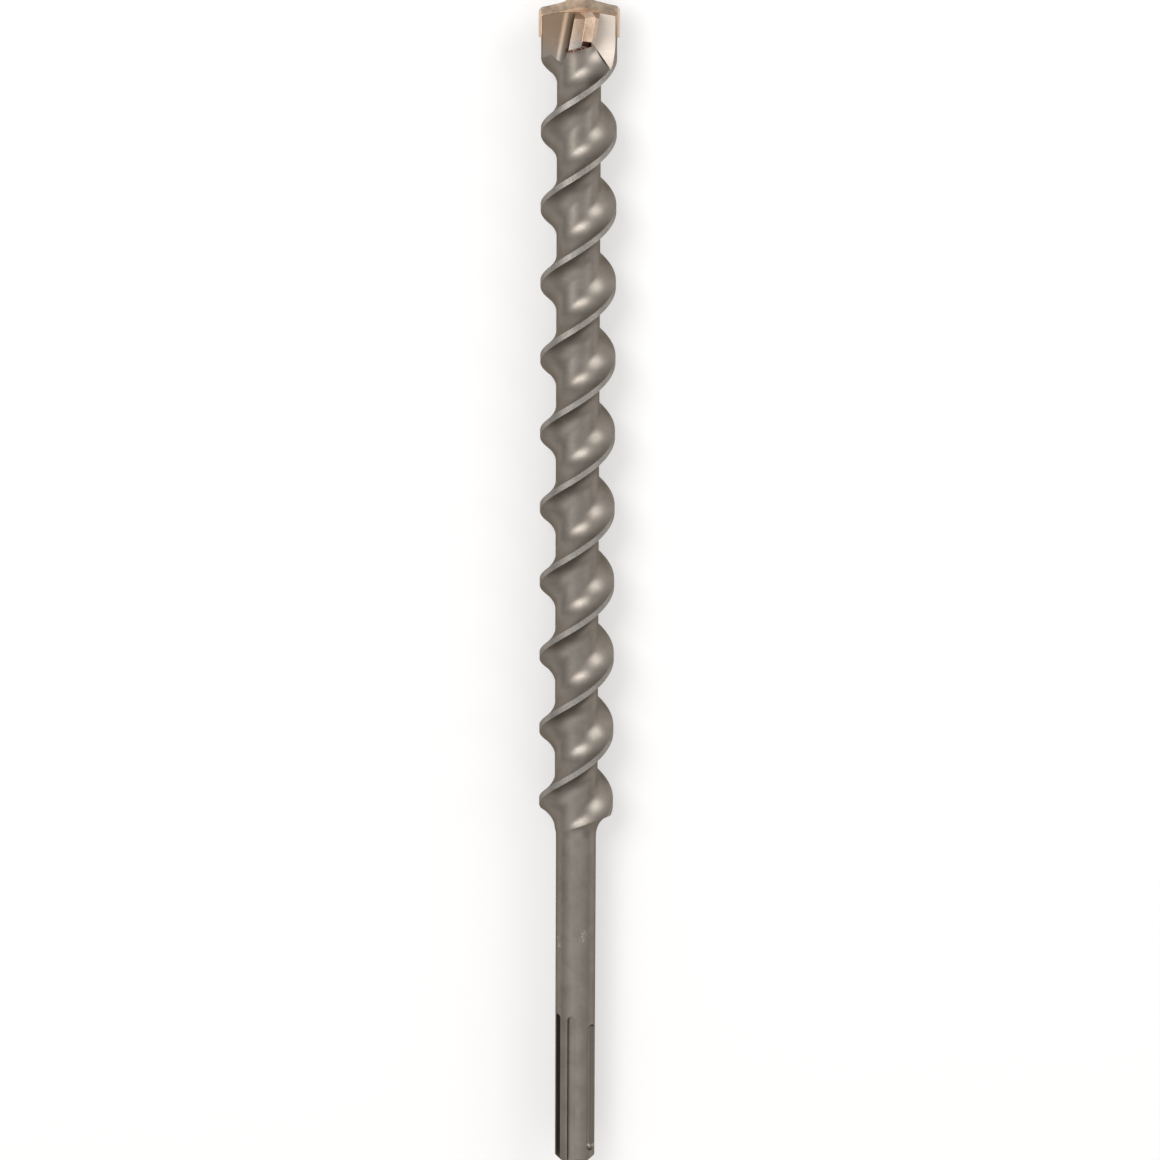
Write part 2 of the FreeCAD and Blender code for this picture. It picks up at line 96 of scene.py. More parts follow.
def placeCamera(values):
    tilt, yaw, roll = values["tilt"], values["yaw"], values["roll"]
    level, up = Vector((0, -math.sin(tilt), -math.cos(tilt))), Vector((0, math.cos(tilt), -math.sin(tilt)))
    forward = level * math.cos(yaw) + Vector((1, 0, 0)) * math.sin(yaw)
    side = Vector((1, 0, 0)) * math.cos(yaw) - level * math.sin(yaw)
    right, up = side * math.cos(roll) + up * math.sin(roll), up * math.cos(roll) - side * math.sin(roll)
    data = bpy.data.cameras.new("overheadCamera")
    data.sensor_width = values["sensor"]
    data.lens = values["focal"] / values["pixels"] * values["sensor"]
    data.clip_end = values["farEnd"] * mm
    camera = bpy.data.objects.new("overheadCamera", data)
    turn = Matrix((right, up, -forward)).transposed().to_4x4()
    camera.matrix_world = Matrix.Translation(Vector(values["position"]) * mm) @ turn
    scene.collection.objects.link(camera)
    scene.camera = camera


placeCamera(view)
print("camera placed")


def emptyMaterial(name):
    material = bpy.data.materials.new(name)
    material.use_nodes = True
    material.node_tree.nodes.clear()
    return material, material.node_tree


def softRegion(tree, measures, limits):
    # How far each point belongs to a patch. A limit: a measure, where the patch begins, where it is full.
    share = 1.0
    for measure, begins, full in limits:
        fade = addNode(tree, "ShaderNodeMapRange", {"interpolation_type": "SMOOTHSTEP"}, {
            "Value": measures[measure], "From Min": begins, "From Max": full, "To Min": 0.0, "To Max": 1.0})
        share = addNode(tree, "ShaderNodeMath", {"operation": "MULTIPLY"}, {
            0: share, 1: fade.outputs["Result"]}).outputs[0]
    return share


steelFinish = {
    "blasted": "#8A837B",  # even satin grey of a shot-blasted surface
    "shade": "#7F7870",
    "rubbed": "#9C9892",  # lands, polished by the hole and by handling
    "scuffed": "#CFCBC3",  # small bruises on the shank
    "heatBrown": "#8F7966",  # colours left by the brazing torch, strongest at the point
    "heatRose": "#BFA591",
    "grooveBrown": "#887563",  # chip groove, where the torch played longest
    "scale": "#43302A",  # burnt flux along the foot of the lobes
    "scaleRose": "#8A6B5D",  # and where it has flaked off
    "fluxLine": "#6A5442",  # and beside the main plate
    "slotWallShade": "#6B665F",  # painted shade: the walls of the shank's slots drawn darker, as shade falls in them
    "grazing": "#B2ADA6",  # a blasted surface shades itself where the eye looks along it
    "roughness": (0.36, 0.48),
    "pit": 0.6,  # blasting pits, drawn coarser than they are so that they show
    "pitDepth": 0.05,
    "mottle": 9.0,
    "mottleLevels": (0.35, 0.6),
    "drift": 14.0,  # the mottle moves the torch colours up and down by half of this
    "footHeight": 509.5,  # the foot of the lobes, a line that climbs across the bit
    "footSlope": 15.7,
    "scuffs": ((-7.9, 106.0, 4.3), (-7.4, 103.5, 5.1), (3.2, 107.0, 8.4), (3.6, 109.5, 8.2)),
    "scuffEdge": (("pits", 0.52, 0.6), ("away", 2.2, 0.3)),
    # Each patch fades in from the first number of a limit to its second
    "patches": {
        "lands": (("pits", 0.3, 0.6), ("outward", 16.3, 16.56)),
        "torch": (("heated", 506.0, 522.0),),
        "chipGroove": (("above", 14.5, 10.15), ("height", 501.0, 520.0), ("side", 0.0, -30.0)),
        "seam": (("fromFoot", 1.25, 0.375), ("across", 6.6, 5.2)),
        "pocket": (("height", 509.5, 510.0), ("height", 513.6, 513.2), ("outward", 16.45, 16.3),
                   ("across", 7.0, 6.6), ("side", 0.0, 30.0)),
        "flakes": (("pits", 0.42, 0.62),),
        "besidePlate": (("height", 512.0, 513.0), ("above", 4.4, 3.6)),
        # painted shade on the slot walls, between the slots' floor and the shank's round
        "shadedSlotWalls": (("outward", 6.9, 7.15), ("outward", 8.97, 8.8),
                      ("height", 3.2, 3.6), ("height", 72.0, 71.0)),
    },
}


def steelMeasures(tree, place, mottle, values):
    # Distances from the axis and the striking face, in millimetres, which the patches are bounded by
    x, height, z = addNode(tree, "ShaderNodeSeparateXYZ", inputs={0: place}).outputs
    unsigned = addNode(tree, "ShaderNodeVectorMath", {"operation": "ABSOLUTE"}, {0: place}).outputs[0]
    across, _, above = addNode(tree, "ShaderNodeSeparateXYZ", inputs={0: unsigned}).outputs
    flat = addNode(tree, "ShaderNodeVectorMath", {"operation": "MULTIPLY"}, {
        0: place, 1: (1, 0, 1)}).outputs[0]
    outward = addNode(tree, "ShaderNodeVectorMath", {"operation": "LENGTH"}, {0: flat}).outputs["Value"]
    drift = addNode(tree, "ShaderNodeMath", {"operation": "MULTIPLY_ADD"}, {
        0: mottle, 1: values["drift"], 2: -values["drift"] / 2}).outputs[0]
    heated = addNode(tree, "ShaderNodeMath", {"operation": "ADD"}, {0: height, 1: drift}).outputs[0]
    # The two sides of the head are alike after half a turn: the sign of z turns x round, and the sign of
    # x times z tells a chip groove from a lobe
    side = addNode(tree, "ShaderNodeMath", {"operation": "MULTIPLY"}, {0: x, 1: z}).outputs[0]
    fromFoot, slope = z, math.tan(math.radians(values["footSlope"]))
    for operation, *others in (("SIGN",), ("MULTIPLY", x), ("MULTIPLY_ADD", -slope, height),
                               ("SUBTRACT", values["footHeight"]), ("ABSOLUTE",)):
        fromFoot = addNode(tree, "ShaderNodeMath", {"operation": operation}, {
            0: fromFoot, **dict(enumerate(others, 1))}).outputs[0]
    return {"height": height, "across": across, "above": above, "outward": outward, "heated": heated,
            "side": side, "fromFoot": fromFoot}


def blastedSteel(name, values):
    # Hardened alloy steel, flutes milled and then shot-blasted: satin, faintly mottled, browned at the head
    material, tree = emptyMaterial(name)
    place = addNode(tree, "ShaderNodeTexCoord").outputs["Object"]
    mottle = addNode(tree, "ShaderNodeTexNoise", inputs={
        "Vector": place, "Scale": 1 / (values["mottle"] * mm),
        "Detail": 5.0, "Roughness": 0.6}).outputs["Fac"]
    pits = addNode(tree, "ShaderNodeTexNoise", inputs={
        "Vector": place, "Scale": 1 / (values["pit"] * mm),
        "Detail": 3.0, "Roughness": 0.65}).outputs["Fac"]
    scaled = addNode(tree, "ShaderNodeVectorMath", {"operation": "SCALE"}, {
        0: place, "Scale": 1 / mm}).outputs[0]
    measures = dict(steelMeasures(tree, scaled, mottle, values), pits=pits)
    shares = {patch: softRegion(tree, measures, limits) for patch, limits in values["patches"].items()}
    low, high = values["mottleLevels"]
    spread = addNode(tree, "ShaderNodeMapRange", inputs={
        "Value": mottle, "From Min": low, "From Max": high, "To Min": 0.0, "To Max": 1.0})
    torch = addNode(tree, "ShaderNodeMix", {"data_type": "RGBA"}, {
        "Factor": pits, 6: linearColour(values["heatBrown"]), 7: linearColour(values["heatRose"])})
    crust = addNode(tree, "ShaderNodeMix", {"data_type": "RGBA"}, {
        "Factor": shares["flakes"], 6: linearColour(values["scale"]), 7: linearColour(values["scaleRose"])})
    burnt = addNode(tree, "ShaderNodeMath", {"operation": "MAXIMUM"}, {
        0: shares["seam"], 1: shares["pocket"]})
    # The colours from the lowest to the highest, each with its share
    layers = [(spread.outputs["Result"], linearColour(values["blasted"])),
              (shares["lands"], linearColour(values["rubbed"]))]
    for spot in values["scuffs"]:
        away = addNode(tree, "ShaderNodeVectorMath", {"operation": "DISTANCE"}, {0: scaled, 1: spot})
        bruise = softRegion(tree, {"away": away.outputs["Value"], "pits": pits}, values["scuffEdge"])
        layers.append((bruise, linearColour(values["scuffed"])))
    layers += [(shares["torch"], torch.outputs[2]),
               (shares["chipGroove"], linearColour(values["grooveBrown"])),
               (burnt.outputs[0], crust.outputs[2]),
               (shares["besidePlate"], linearColour(values["fluxLine"])),
               # the slot walls get their painted shade
               (shares["shadedSlotWalls"], linearColour(values["slotWallShade"]))]
    colour = linearColour(values["shade"])
    for share, over in layers:
        colour = addNode(tree, "ShaderNodeMix", {"data_type": "RGBA"}, {
            "Factor": share, 6: colour, 7: over}).outputs[2]
    smooth, rough = values["roughness"]
    roughness = addNode(tree, "ShaderNodeMapRange", inputs={
        "Value": pits, "From Min": 0.3, "From Max": 0.7, "To Min": smooth, "To Max": rough})
    bump = addNode(tree, "ShaderNodeBump", inputs={
        "Strength": 0.25, "Distance": values["pitDepth"] * mm, "Height": pits})
    shader = addNode(tree, "ShaderNodeBsdfPrincipled", inputs={
        "Base Color": colour, "Metallic": 1.0, "Roughness": roughness.outputs["Result"],
        "Specular Tint": linearColour(values["grazing"]), "Normal": bump.outputs["Normal"]})
    addNode(tree, "ShaderNodeOutputMaterial", inputs={"Surface": shader.outputs[0]})
    return material


groundFinish = {
    "bright": "#D1C6BB",
    "dull": "#C4B9AE",
    "roughness": 0.52,
    "mark": 0.5,  # grinding marks, drawn coarser than they are so that they show
    "markDepth": 0.03,
    "stretch": 0.06,  # a mark's width over its length
}


def groundSteel(name, values):
    # Alloy steel ground after the brazing: bright, with fine marks across the bit
    material, tree = emptyMaterial(name)
    place = addNode(tree, "ShaderNodeTexCoord").outputs["Object"]
    stretched = addNode(tree, "ShaderNodeVectorMath", {"operation": "MULTIPLY"}, {
        0: place, 1: (values["stretch"], 1.0, values["stretch"])})
    marks = addNode(tree, "ShaderNodeTexNoise", inputs={
        "Vector": stretched.outputs[0], "Scale": 1 / (values["mark"] * mm), "Detail": 3.0}).outputs["Fac"]
    colour = addNode(tree, "ShaderNodeMix", {"data_type": "RGBA"}, {
        "Factor": marks, 6: linearColour(values["dull"]), 7: linearColour(values["bright"])})
    bump = addNode(tree, "ShaderNodeBump", inputs={
        "Strength": 0.2, "Distance": values["markDepth"] * mm, "Height": marks})
    shader = addNode(tree, "ShaderNodeBsdfPrincipled", inputs={
        "Base Color": colour.outputs[2], "Metallic": 1.0, "Roughness": values["roughness"],
        "Normal": bump.outputs["Normal"]})
    addNode(tree, "ShaderNodeOutputMaterial", inputs={"Surface": shader.outputs[0]})
    return material


plateFinish = {
    "fired": "#877462",
    "ground": "#9C8B7A",
    "flux": "#B19C85",
    "edge": "#C4AF9D",  # the ground margins at the greatest width
    "stainLevels": (0.38, 0.52, 0.66),  # of the stain pattern: fired below, ground between, flux above
    "margin": (("across", 16.4, 16.8),),  # where they begin and where they are full
    "roughness": (0.37, 0.53),
    "stain": 4.8,
    "grain": 0.4,  # drawn coarser than it is so that it shows
    "grainDepth": 0.04,
}
cutterFinish = dict(plateFinish, ground="#C0A791", fired="#AF957F", flux="#CFB8A3", edge="#CCB49F")


def sinteredCarbide(name, values):
    # Tungsten carbide, sintered and ground: dull, slightly grainy, with brown flux stains from the brazing
    material, tree = emptyMaterial(name)
    place = addNode(tree, "ShaderNodeTexCoord").outputs["Object"]
    stain = addNode(tree, "ShaderNodeTexNoise", inputs={
        "Vector": place, "Scale": 1 / (values["stain"] * mm), "Detail": 4.0, "Roughness": 0.6})
    grain = addNode(tree, "ShaderNodeTexNoise", inputs={
        "Vector": place, "Scale": 1 / (values["grain"] * mm), "Detail": 2.0}).outputs["Fac"]
    ramp = addNode(tree, "ShaderNodeValToRGB", inputs={"Fac": stain.outputs["Fac"]})
    stops = ramp.color_ramp.elements
    stops.new(0.5)
    for stop, level, shade in zip(stops, values["stainLevels"], ("fired", "ground", "flux")):
        stop.position, stop.color = level, linearColour(values[shade])
    scaled = addNode(tree, "ShaderNodeVectorMath", {"operation": "SCALE"}, {0: place, "Scale": 1 / mm})
    unsigned = addNode(tree, "ShaderNodeVectorMath", {"operation": "ABSOLUTE"}, {0: scaled.outputs[0]})
    across = addNode(tree, "ShaderNodeSeparateXYZ", inputs={0: unsigned.outputs[0]}).outputs["X"]
    colour = addNode(tree, "ShaderNodeMix", {"data_type": "RGBA"}, {
        "Factor": softRegion(tree, {"across": across}, values["margin"]),
        6: ramp.outputs["Color"], 7: linearColour(values["edge"])})
    smooth, rough = values["roughness"]
    roughness = addNode(tree, "ShaderNodeMapRange", inputs={
        "Value": grain, "From Min": 0.3, "From Max": 0.7, "To Min": smooth, "To Max": rough})
    bump = addNode(tree, "ShaderNodeBump", inputs={
        "Strength": 0.2, "Distance": values["grainDepth"] * mm, "Height": grain})
    shader = addNode(tree, "ShaderNodeBsdfPrincipled", inputs={
        "Base Color": colour.outputs[2], "Metallic": 0.85, "Roughness": roughness.outputs["Result"],
        "Normal": bump.outputs["Normal"]})
    addNode(tree, "ShaderNodeOutputMaterial", inputs={"Surface": shader.outputs[0]})
    return material


brazeFinish = {
    "copper": "#BE9474",
    "brass": "#E8D3B7",
    "roughness": 0.32,
    "run": 1.2,  # width of the frozen runs
    "runDepth": 0.1,
}


def meltedBraze(name, values):
    # Copper braze, melted and frozen: bright, rounded, redder where it is thin
    material, tree = emptyMaterial(name)
    place = addNode(tree, "ShaderNodeTexCoord").outputs["Object"]
    flow = addNode(tree, "ShaderNodeTexNoise", inputs={
        "Vector": place, "Scale": 1 / (values["run"] * mm), "Detail": 2.0}).outputs["Fac"]
    colour = addNode(tree, "ShaderNodeMix", {"data_type": "RGBA"}, {
        "Factor": flow, 6: linearColour(values["copper"]), 7: linearColour(values["brass"])})
    bump = addNode(tree, "ShaderNodeBump", inputs={
        "Strength": 0.4, "Distance": values["runDepth"] * mm, "Height": flow})
    shader = addNode(tree, "ShaderNodeBsdfPrincipled", inputs={
        "Base Color": colour.outputs[2], "Metallic": 1.0, "Roughness": values["roughness"],
        "Normal": bump.outputs["Normal"]})
    addNode(tree, "ShaderNodeOutputMaterial", inputs={"Surface": shader.outputs[0]})
    return material


steel = blastedSteel("alloySteelShotBlasted", steelFinish)
ground = groundSteel("alloySteelGround", groundFinish)
plateCarbide = sinteredCarbide("tungstenCarbideSintered", plateFinish)
cutterCarbide = sinteredCarbide("tungstenCarbideGround", cutterFinish)
braze = meltedBraze("copperBrazeMelted", brazeFinish)
print("materials made")

# The drill body is a two-start spiral, turned at both ends, with its head and shank cut out of it
spiral = {
    "landRadius": 16.6,
    "coreRadius": 9.6,
    "lead": 67.2,
    "landWidth": 2.85,  # along the axis
    "flankRadius": 12.0,  # the hollow of a flute's flanks, along the axis too
    "endAngle": 45.0,  # from +Z towards +X, where the first flute ends
    "endHeight": 513.7,
    "low": 140.0,  # the sweep, before it is turned and trimmed
    "high": 516.0,
    "ringStep": 0.6,
    "landSteps": 4,
    "flankSteps": 18,
    "floorSteps": 12,
}


def spiralSection(values):
    # The section across the axis. A flute's shape is given along the axis, and the lead turns it into angles.
    core, bend, steps = values["coreRadius"], values["flankRadius"], values["flankSteps"]
    start = values["lead"] / 2
    flank = math.acos(1 - (values["landRadius"] - core) / bend)
    opening = start / 2 - values["landWidth"] / 2
    floor = opening - bend * math.sin(flank)
    angles = [flank * step / steps for step in range(steps + 1)]
    half = []
    for step in range(values["floorSteps"]):
        half.append((-floor + 2 * floor * step / values["floorSteps"], core))
    for angle in angles[:-1]:
        half.append((floor + bend * math.sin(angle), core + bend * (1 - math.cos(angle))))
    for step in range(values["landSteps"]):
        half.append((opening + values["landWidth"] * step / values["landSteps"], values["landRadius"]))
    for angle in angles[:0:-1]:
        half.append((start - floor - bend * math.sin(angle), core + bend * (1 - math.cos(angle))))
    return [(-360 * along / values["lead"] + 180 * turn, radius)
            for turn in range(2) for along, radius in half]


def buildSpiralTree(material):
    # Sweeps the closed section along Y, turning it steadily
    tree = bpy.data.node_groups.new("spiralFlutes", "GeometryNodeTree")
    face = tree.interface
    face.new_socket("Section", in_out="INPUT", socket_type="NodeSocketGeometry")
    for name in ("Low", "High", "Lead", "Start angle"):
        face.new_socket(name, in_out="INPUT", socket_type="NodeSocketFloat")
    face.new_socket("Rings", in_out="INPUT", socket_type="NodeSocketInt")
    face.new_socket("Body", in_out="OUTPUT", socket_type="NodeSocketGeometry")
    source = addNode(tree, "NodeGroupInput").outputs
    span = addNode(tree, "ShaderNodeMath", {"operation": "SUBTRACT"}, {0: source["High"], 1: source["Low"]})
    gaps = addNode(tree, "ShaderNodeMath", {"operation": "SUBTRACT"}, {0: source["Rings"], 1: 1.0})
    rise = addNode(tree, "ShaderNodeMath", {"operation": "DIVIDE"}, {0: span.outputs[0], 1: gaps.outputs[0]})
    step = addNode(tree, "ShaderNodeCombineXYZ", inputs={"Y": rise.outputs[0]})
    begin = addNode(tree, "ShaderNodeCombineXYZ", inputs={"Y": source["Low"]})
    line = addNode(tree, "GeometryNodeMeshLine", {"mode": "OFFSET"}, {
        "Count": source["Rings"], "Start Location": begin.outputs[0], "Offset": step.outputs[0]})
    path = addNode(tree, "GeometryNodeMeshToCurve", inputs={"Mesh": line.outputs[0]})
    upright = addNode(tree, "GeometryNodeSetCurveNormal", {"mode": "Z_UP"}, {"Curve": path.outputs[0]})
    place = addNode(tree, "GeometryNodeInputPosition").outputs[0]
    height = addNode(tree, "ShaderNodeSeparateXYZ", inputs={0: place}).outputs["Y"]
    turns = addNode(tree, "ShaderNodeMath", {"operation": "DIVIDE"}, {0: height, 1: source["Lead"]})
    angle = addNode(tree, "ShaderNodeMath", {"operation": "MULTIPLY"}, {0: turns.outputs[0], 1: 2 * math.pi})
    tilt = addNode(tree, "ShaderNodeMath", {"operation": "ADD"}, {
        0: angle.outputs[0], 1: source["Start angle"]})
    twisted = addNode(tree, "GeometryNodeSetCurveTilt", inputs={
        "Curve": upright.outputs[0], "Tilt": tilt.outputs[0]})
    section = addNode(tree, "GeometryNodeMeshToCurve", inputs={"Mesh": source["Section"]})
    swept = addNode(tree, "GeometryNodeCurveToMesh", inputs={
        "Curve": twisted.outputs[0], "Profile Curve": section.outputs[0], "Fill Caps": True})
    real = addNode(tree, "GeometryNodeRealizeInstances", inputs={"Geometry": swept.outputs[0]})
    finish = addNode(tree, "GeometryNodeSetMaterial", inputs={
        "Geometry": real.outputs[0], "Material": material})
    addNode(tree, "NodeGroupOutput", inputs={"Body": finish.outputs[0]})
    return tree


def setInputs(modifier, values):
    # A modifier's inputs go by their identifiers, which are looked up by name
    for item in modifier.node_group.interface.items_tree:
        if item.in_out == "INPUT" and item.name in values:
            modifier[item.identifier] = values[item.name]


def plainMesh(piece, name):
    # The piece with its modifiers applied, as a new plain mesh
    bpy.context.view_layer.update()
    evaluated = piece.evaluated_get(bpy.context.evaluated_depsgraph_get())
    mesh = bpy.data.meshes.new_from_object(evaluated)
    result = bpy.data.objects.new(name, mesh)
    scene.collection.objects.link(result)
    bpy.data.objects.remove(piece)
    return result


def buildSpiral(values, material):
    points = [(math.radians(angle), radius) for angle, radius in spiralSection(values)]
    loop = [(radius * math.cos(angle), radius * math.sin(angle), 0) for angle, radius in points]
    mesh = bpy.data.meshes.new("fluteSection")
    edges = [(i, (i + 1) % len(loop)) for i in range(len(loop))]
    mesh.from_pydata([Vector(p) * mm for p in loop], edges, [])
    section = bpy.data.objects.new("fluteSection", mesh)
    scene.collection.objects.link(section)
    modifier = section.modifiers.new("spiralFlutes", "NODES")
    modifier.node_group = buildSpiralTree(material)
    rings = round((values["high"] - values["low"]) / values["ringStep"]) + 1
    setInputs(modifier, {
        "Low": values["low"] * mm, "High": values["high"] * mm, "Lead": values["lead"] * mm, "Rings": rings,
        "Start angle": math.radians(values["endAngle"] + 90 - 360 * values["endHeight"] / values["lead"])})
    swept = plainMesh(section, "drillBody")
    closeMesh(swept.data)
    return swept


def onRound(angle, radius, height):
    # A point by its angle from +Z towards +X, its distance from the axis and its height
    return (radius * math.sin(math.radians(angle)), height, radius * math.cos(math.radians(angle)))


def arcPoints(centre, radius, first, last, steps):
    angles = [math.radians(first + (last - first) * step / steps) for step in range(steps + 1)]
    return [(centre[0] + radius * math.cos(a), centre[1] + radius * math.sin(a)) for a in angles]


def addTurned(name, profile, steps):
    # A closed solid of revolution about Y. The profile's first and last points lie on the axis.
    vertices = [(0, profile[0][1], 0), (0, profile[-1][1], 0)]
    inner = profile[1:-1]
    for step in range(steps):
        vertices += [onRound(360 * step / steps, radius, height) for radius, height in inner]
    faces = []
    count = len(inner)
    for step in range(steps):
        here, after = 2 + step * count, 2 + (step + 1) % steps * count
        faces.append((0, after, here))
        faces.append((1, here + count - 1, after + count - 1))
        for i in range(count - 1):
            faces.append((here + i, after + i, after + i + 1, here + i + 1))
    return addMesh(name, vertices, faces)


def addPrism(name, outline, origin, across, along, depth):
    # A prism: its outline lies in the plane of across and along, and depth gives both its ends on the normal
    across, along = Vector(across).normalized(), Vector(along).normalized()
    normal = across.cross(along)
    count = len(outline)
    vertices = [Vector(origin) + across * u + along * v + normal * w for w in depth for u, v in outline]
    faces = [tuple(reversed(range(count))), tuple(range(count, 2 * count))]
    faces += [(i, (i + 1) % count, count + (i + 1) % count, count + i) for i in range(count)]
    return addMesh(name, vertices, faces)


def opposite(piece):
    # The same piece half a turn round the axis
    twin = piece.copy()
    twin.data = piece.data.copy()
    twin.data.transform(Matrix.Rotation(math.pi, 4, "Y"))
    scene.collection.objects.link(twin)
    return twin


def combine(target, tools, operation):
    # Joins, cuts or trims the target with the tools, one after another, and leaves a plain mesh
    for tool in tools:
        modifier = target.modifiers.new(operation, "BOOLEAN")
        modifier.operation = operation
        modifier.solver = "MANIFOLD"
        modifier.object = tool
    name = target.name
    result = plainMesh(target, name)
    for tool in tools:
        bpy.data.objects.remove(tool)
    result.name = name
    return result


blank = {
    "shankRadius": 9.0,
    "shankLength": 153.3,
    "chamfer": 3.0,
    "hollowRadius": 11.6,  # the hollow turned into the neck, where the flutes run out
    "clearRadius": 17.5,  # past the lands, so that the turning leaves them alone
    "headFrom": 494.0,
    "headRadius": 16.55,
    "rimHeight": 522.7,
    "crownRadius": 10.0,
    "crownHeight": 524.0,
    "topHeight": 524.3,
    "hollowSteps": 14,
    "roundSteps": 192,
}


def turnedBlank(values):
    shank, chamfer, hollow = values["shankRadius"], values["chamfer"], values["hollowRadius"]
    clear, rim = values["clearRadius"], values["headRadius"]
    reach = math.degrees(math.acos(1 - (clear - shank) / hollow))
    centre = (shank + hollow, values["shankLength"])
    profile = [(0, 0), (shank - chamfer, 0), (shank, chamfer)]
    profile += arcPoints(centre, hollow, 180, 180 - reach, values["hollowSteps"])
    profile += [(clear, values["headFrom"]), (rim, values["headFrom"]), (rim, values["rimHeight"])]
    profile += [(values["crownRadius"], values["crownHeight"]), (0, values["topHeight"])]
    return addTurned("turnedBlank", profile, values["roundSteps"])


shankCore = {
    "radius": 9.3,  # a little over the shank's, so that the turning cuts all of it
    "overlap": 2.0,
    "steps": 96,
}


def addShankCore(values):
    low, high = -values["overlap"], spiral["low"] + values["overlap"]
    return addTurned("shankCore", [(0, low), (values["radius"], low), (values["radius"], high), (0, high)],
                     values["steps"])


head = {
    "fullRadius": 17.2,  # past the turned radius, which trims it
    "rampHeight": 496.9,  # the land's middle where the first flute ends
    "rampTurn": 192.0,  # a little over half a turn, so that the two ramps overlap
    "rampSteps": 96,
    "floorHeight": 509.0,
    "floorSlope": 15.7,
    "top": 536.0,
}


def rampBlock(values):
    # Past the end of a flute the steel is full: half a cylinder that stands on the land
    start, steps, outer, top = spiral["endAngle"], values["rampSteps"], values["fullRadius"], values["top"]
    angles = [start + values["rampTurn"] * step / steps for step in range(steps + 1)]
    heights = [values["rampHeight"] + spiral["lead"] * (angle - start) / 360 for angle in angles]
    vertices = [(0, h, 0) for h in heights] + [(0, top, 0)]
    vertices += [onRound(a, outer, h) for a, h in zip(angles, heights)]
    vertices += [onRound(a, outer, top) for a in angles]
    peak = steps + 1
    low, high = peak + 1, 2 * peak + 1
    faces = []
    for i in range(steps):
        faces.append((i, i + 1, low + i + 1, low + i))
        faces.append((low + i, low + i + 1, high + i + 1, high + i))
        faces.append((peak, high + i, high + i + 1))
    faces.append((0, low, high, peak) + tuple(range(steps, 0, -1)))
    faces.append((steps, peak, high + steps, low + steps))
    return addMesh("rampBlock", vertices, faces)


def lobeBlock(values):
    # A lobe fills everything on its side of the axis above a sloping floor
    slope, full = math.radians(values["floorSlope"]), values["fullRadius"]
    outline = [(-farOut, 0), (farOut, 0), (farOut, full), (-farOut, full)]
    across = (math.cos(slope), math.sin(slope), 0)
    return addPrism("lobeBlock", outline, (0, values["floorHeight"], 0), across, (0, 0, 1), (0, -farOut))


# The slanted edge where the end of a flute meets the back flat, as a point on it and its turn seen from above
fluteEnd = {
    "x": 6.1,
    "y": 510.45,
    "turn": 54.0,
    "inner": -8.0,  # from that point along the edge
    "outer": 22.0,
    "bottom": 1.0,  # the cut begins this far above the axis
    "clearance": 0.12,
}


def fluteEndCorner(values, shift=0.0):
    # Everything on the flute's side of that edge
    turn = math.radians(values["turn"])
    inner, outer = values["inner"], values["outer"]
    outline = [(inner, shift), (outer, shift), (outer, farOut), (inner, farOut)]
    down = (math.cos(turn), -math.sin(turn), 0)
    inwards = (-math.sin(turn), -math.cos(turn), 0)
    return addPrism("fluteEndCorner", outline, (values["x"], values["y"], 0), down, inwards,
                    (-farOut, -values["bottom"]))


chipGroove = {
    "floor": 5.0,
    "wall": 4.6,
    "corner": 5.0,
    "slant": 10.5,
    "depth": 20.0,  # how far below the head's floor the cut begins
    "length": 90.0,
    "steps": 24,
}


def chipGrooveTool(values):
    # A flat floor in front of the main cutting edge, with a round corner up to the lobe's wall
    slant = math.radians(values["slant"])
    centre = (-values["wall"] - values["corner"], values["floor"] + values["corner"])
    outline = [(-farOut, values["floor"])] + arcPoints(centre, values["corner"], 270, 360, values["steps"])
    outline += [(-values["wall"], farOut), (-farOut, farOut)]
    origin = (-values["depth"] * math.tan(slant), head["floorHeight"] - values["depth"], 0)
    across = (math.cos(slant), -math.sin(slant), 0)
    return addPrism("chipGroove", outline, origin, across, (0, 0, 1), (0, -values["length"]))


backFlat = {
    "floor": 5.3,
    "wall": 7.1,
    "slant": 10.5,
    "from": 515.0,
    "runOut": 25.0,
    "steps": 60,
    "closeness": 0.006,  # how near the flat a face's centre lies, if the face belongs to it
    "facing": 0.99,  # and how well its normal agrees
    "pastEdge": -0.2,  # and how far it is past the end of the flute
}


def backFlatTool(values):
    # A flat behind the main cutting edge, which runs out along a large arc
    slant = math.radians(values["slant"])
    centre = (0, values["floor"] + values["runOut"])
    outline = arcPoints(centre, values["runOut"], 180, 270, values["steps"])
    outline += [(farOut, values["floor"]), (farOut, centre[1])]
    across = (math.sin(slant), math.cos(slant), 0)
    return addPrism("backFlat", outline, (values["wall"], values["from"], 0), across, (0, 0, 1), (0, farOut))


plateSlot = {"half": 3.15, "seat": 512.95, "top": 560.0}


def plateSlotTool(values):
    low, high, half = values["seat"], values["top"], values["half"]
    outline = [(-farOut, low), (farOut, low), (farOut, high), (-farOut, high)]
    return addPrism("plateSlot", outline, (0, 0, 0), (1, 0, 0), (0, 1, 0), (-half, half))


cutterSeat = {
    "angle": 14.8,  # round the axis, from +Z towards +X
    "slant": 9.2,
    "half": 2.1,  # half the slot's width
    "seat": 512.8,
    "rise": 10.8,  # height of the cutter, which leans about its middle
    "reach": 30.0,  # length of the cuts outwards
    "slot": (7.85, -0.15, 27.5),  # inner radius, then low and high end along the slant
    "runOut": (12.3, -2.2, 3.9),  # the same for the black pocket below the cutter
}


